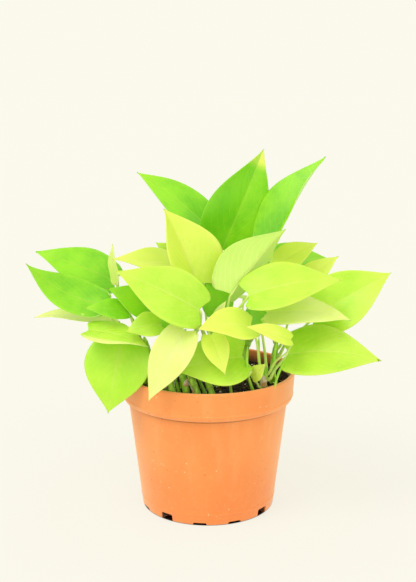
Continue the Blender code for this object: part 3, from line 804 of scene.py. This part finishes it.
class Leaf:
    """Where one leaf's blade and stalk lie, read from its node."""

    def __init__(self, name):
        self.name = name
        bm = merged_copy(nodes[name])
        bm.verts.ensure_lookup_table()
        far = rings_from([bm.verts[0]])[-1][0]
        other = rings_from([far])[-1][0]
        root = min((far, other), key=lambda v: sum(len(r) for r in rings_from([v])[:4]))
        close = [v for ring in rings_from([root])[:4] for v in ring]
        cap = sorted(close, key=lambda v: (v.co - root.co).length)[:CAD_STALK_SIDES]
        up = rings_from(cap)
        base = middle(v.co for v in up[5])
        tip = max((v for ring in up[6:] for v in ring), key=lambda v: (v.co - base).length)
        twin = min((e.other_vert(tip) for e in tip.link_edges), key=lambda v: (v.co - tip.co).length)
        rows = rings_from([tip, twin])
        self.stalk = [middle(v.co for v in ring) for ring in reversed(rows[REAR_ROW + 1:])]
        stalk_side = set(rows[REAR_ROW + 1])
        pinch = [v for v in rows[REAR_ROW] if any(e.other_vert(v) in stalk_side for e in v.link_edges)]
        start = middle(v.co for v in pinch)
        end = (tip.co + twin.co) * 0.5
        self.length = (end - start).length
        self.along = (end - start).normalized()
        left, right, ridge = self.edges(rows[WIDEST_ROW])
        self.width = (right - left).length
        across = right - left
        across = (across - self.along * across.dot(self.along)).normalized()
        self.normal = self.along.cross(across)
        if ((left + right) * 0.5 - ridge).dot(self.normal) < 0.0:
            self.normal = -self.normal
            across = -across
        self.across = across
        self.fold = ((left + right) * 0.5 - ridge).dot(self.normal) / (0.375 * self.width)
        self.start = start + self.normal * 0.4 * MM
        half_way = self.edges(rows[HALF_WAY_ROW])[2]
        self.rise = (half_way - self.start).dot(self.normal)
        bm.free()

    def edges(self, row):
        """The two side points of a row of the blade, and the point on its midrib."""
        pairs = [(a.co, b.co) for a in row for b in row]
        left, right = max(pairs, key=lambda pair: (pair[0] - pair[1]).length)
        reach = right - left
        order = sorted(row, key=lambda v: (v.co - left).dot(reach))
        centre = min(order[6:8], key=lambda v: (v.co - left).cross(reach).length)
        return left.copy(), right.copy(), centre.co.copy()

    def half_share(self, u):
        """The blade's half width at u, as a share of its widest."""
        if u < 0.3:
            return 0.60 + 0.40 * math.sqrt(max(0.0, 1.0 - (1.0 - u / 0.3) ** 2))
        return max(0.0, math.cos(0.5 * math.pi * (u - 0.3) / 0.7)) ** 1.18

    def point(self, u, v):
        """A point of the blade's upper face: u from stalk to tip, v from edge to edge."""
        half = 0.5 * self.width
        share = self.half_share(u)
        bulge = 1.6 * abs(v) ** 1.5 * math.sqrt(max(0.0, 1.0 - v ** 4)) + 0.25 * v * v
        depth = LOBE_DEPTH * min(1.0, 1.25 * self.width / self.length)
        x = self.length * (u - depth * bulge * (1.0 - u) ** 4)
        y = v * share * half * (1.0 + self.skew * v * (1.0 - u))
        soft = 1.0 * MM * self.size
        lift = self.fold * (math.sqrt(y * y + soft * soft) - soft - 0.25 * y * y / half)
        lift += self.rise * 4.0 * u * (1.0 - u)
        lift -= 0.25 * MM * self.size * math.exp(-(y / (1.1 * MM * self.size)) ** 2) * (1.0 - u)
        lift += self.ripple * v * v * math.sin(2.0 * math.pi * (self.waves * u + self.phase + 0.1 * v))
        lift += self.ripple * 0.12 * abs(v) ** 0.5 * (1.0 - abs(v)) * math.cos(
            2.0 * math.pi * VEIN_PAIRS * (u - VEIN_SWEEP * abs(v)))
        lift -= self.droop * max(0.0, u - 0.72) ** 2
        return self.start + self.along * x + self.across * y + self.normal * lift


def blade_look(leaf, slot):
    young, deep, vein, edge, under = LEAF_TONES[OWN_TONE.get(leaf.name, slot)]
    tone = leaf.tone
    look = Look(leaf.name + " skin", 0.36, Specular_IOR_Level=0.42, Subsurface_Weight=0.22,
                Subsurface_Scale=0.0022)
    look.shader.inputs["Subsurface Radius"].default_value = (0.7, 1.0, 0.15)
    spot = look.node("ShaderNodeUVMap", {"uv_map": "blade"})
    u, v = (look.node("ShaderNodeSeparateXYZ", inputs={0: spot}, out=k) for k in range(2))
    aside = abs(v * 2.0 - 1.0)
    stalk = look.node("ShaderNodeAttribute", {"attribute_name": "stalk"}, out=2)
    below = look.node("ShaderNodeAttribute", {"attribute_name": "under"}, out=2)
    clouds = look.noise(0.022, 4.0)
    mottle = look.noise(0.0045, 5.0, roughness=0.65)
    wander = (look.noise(0.010, 2.0) - 0.5) * 0.08
    bend = aside ** 1.25 * VEIN_SWEEP
    rows = (u - bend + wander) * VEIN_PAIRS * 2.0 * math.pi
    rib = (rows.cosine() * 0.5 + 0.5) ** 22.0
    rib = rib * aside.above(0.70, 0.95, 1.0, 0.0) * u.above(0.75, 0.95, 1.0, 0.0)
    fine = ((u - bend * 1.35 + wander * 1.5) * VEIN_PAIRS * 8.0 * math.pi).cosine() * 0.5 + 0.5
    midrib = aside.above(0.010, 0.045, 1.0, 0.0) * u.above(0.86, 1.0, 1.0, 0.0)
    base = tuple(c * tone for c in young)
    colour = look.mix(clouds.above(0.38, 0.78) * 0.6, base, tuple(c * tone for c in deep))
    colour = look.mix(u.above(0.0, 0.55, 0.75, 0.0) * clouds.above(0.2, 0.6), colour, deep)
    colour = look.mix(mottle.above(0.42, 0.78) * 0.22, colour, edge)
    colour = look.mix(fine * 0.05, colour, deep)
    colour = look.mix(aside.above(0.80, 1.0) * 0.4, colour, edge)
    colour = look.mix(u.above(0.6, 1.0) * 0.5, colour, edge)
    colour = look.mix(rib * 0.16, colour, vein)
    for kind, share, tint in leaf.marks:
        if kind == "tip":
            mask = u.above(0.80, 0.90) * (clouds + 0.25).above(0.45, 0.75)
        elif kind == "brown tip":
            mask = u.above(0.965, 0.99)
        elif kind == "pale edge":
            mask = v.above(0.10, 0.20, 1.0, 0.0)
        elif kind == "flecks":
            mask = look.cells(0.010).above(0.10, 0.19, 1.0, 0.0) * look.noise(0.018, 2.0).above(0.55, 0.62)
        elif kind == "first half":
            mask = v.above(0.5, 0.54)
        colour = look.mix(mask * share, colour, tint)
    back = look.mix(rib * 0.3, look.mix(clouds * 0.4, under, edge), vein)
    colour = look.mix(below, colour, back)
    colour = look.mix(midrib * 0.38, colour, vein)
    stem = look.mix(clouds, STALK_LIGHT, STALK_GREEN)
    colour = look.mix(stalk, colour, stem)
    look.set("Base Color", colour)
    look.set("Roughness", 0.34 + mottle * 0.12 + below * 0.15)
    relief = (rib * -0.55 + midrib * -0.6 + fine * 0.10 + mottle * 0.4) * (1.0 - stalk)
    look.bump(relief, 0.0003, 0.5)
    return look.material


def build_leaf(name, stems):
    """One leaf: a finely curved blade, and its stalk drawn on as the blade's midrib."""
    leaf = Leaf(name)
    dice = random.Random(name)
    size = leaf.width / FULL_WIDTH
    leaf.size = min(1.0, size)
    leaf.skew = dice.uniform(-0.05, 0.05)
    leaf.ripple = 0.9 * MM * size * dice.uniform(0.6, 1.3)
    leaf.waves = dice.uniform(1.1, 1.9)
    leaf.phase = dice.random()
    leaf.droop = 18.0 * MM * size * dice.uniform(0.0, 1.0)
    leaf.tone = dice.uniform(0.93, 1.07)
    leaf.marks = LEAF_MARKS.get(name, ())

    bm = bmesh.new()
    stalk_layer = bm.verts.layers.float.new("stalk")
    under_layer = bm.verts.layers.float.new("under")
    uv_layer = bm.loops.layers.uv.new("blade")
    bmesh.ops.create_grid(bm, x_segments=BLADE_ROWS, y_segments=BLADE_COLUMNS, size=1.0)
    spots = {}
    for vertex in bm.verts:
        u = (0.5 + 0.5 * vertex.co.x) ** 1.5
        s = abs(vertex.co.y)
        v = math.copysign(0.5 * s ** 1.4 + 0.5 * math.sin(0.5 * math.pi * s), vertex.co.y)
        u = min(1.0, max(0.0, u))
        spots[vertex] = (u, 0.5 + 0.5 * v)
        vertex.co = leaf.point(u, v)
    for face in bm.faces:
        for loop in face.loops:
            loop[uv_layer].uv = spots[loop.vert]
    bmesh.ops.remove_doubles(bm, verts=bm.verts, dist=0.00001)
    for vertex in thicken(bm, BLADE_THICKNESS):
        vertex[under_layer] = 1.0

    foot = leaf.stalk[0]
    anchors = [point for line in stems for point in line]
    anchor = min(anchors, key=lambda point: (point - foot).length + abs(point.z - foot.z))
    anchor = anchor + (foot - anchor) * 0.25 - Vector((0.0, 0.0, 2.2 * MM))
    thick = min(1.0, 0.62 + 0.38 * size)
    line = [anchor, *leaf.stalk]
    radii = list(STALK_TAPER)
    for u, radius in MIDRIB:
        line.append(leaf.point(u, 0.0) - leaf.normal * (radius * thick + 0.12) * MM)
        radii.append(radius)
    path = smooth_line(line, 5)
    rounds = [r * thick * MM for r in spread(radii, len(path))]
    for ring in draw_tube(bm, path, rounds, STALK_SIDES):
        for vertex in ring:
            vertex[stalk_layer] = 1.0
            for loop in vertex.link_loops:
                loop[uv_layer].uv = (0.5, 0.5)
    add_piece(name.replace("leaf_", "plant_leaf_"), bm, [blade_look(leaf, slot_of[name])], [name])


def main():
    build_studio()
    build_pot()
    build_mix()
    stems = [build_stem(name) for name in nodes if name.startswith("stem_")]
    for number, middles in enumerate(stems, 1):
        if number % 3 != 1:
            build_sheath(number, middles)
    soil = max(middles[0].z for middles in stems) + 9.0 * MM
    for number, (foot, tip, thickness) in enumerate(ROLLED_SHOOTS, 1):
        build_shoot(number, foot, tip, thickness, soil)
    for name in nodes:
        if name.startswith("leaf_"):
            build_leaf(name, stems)


main()
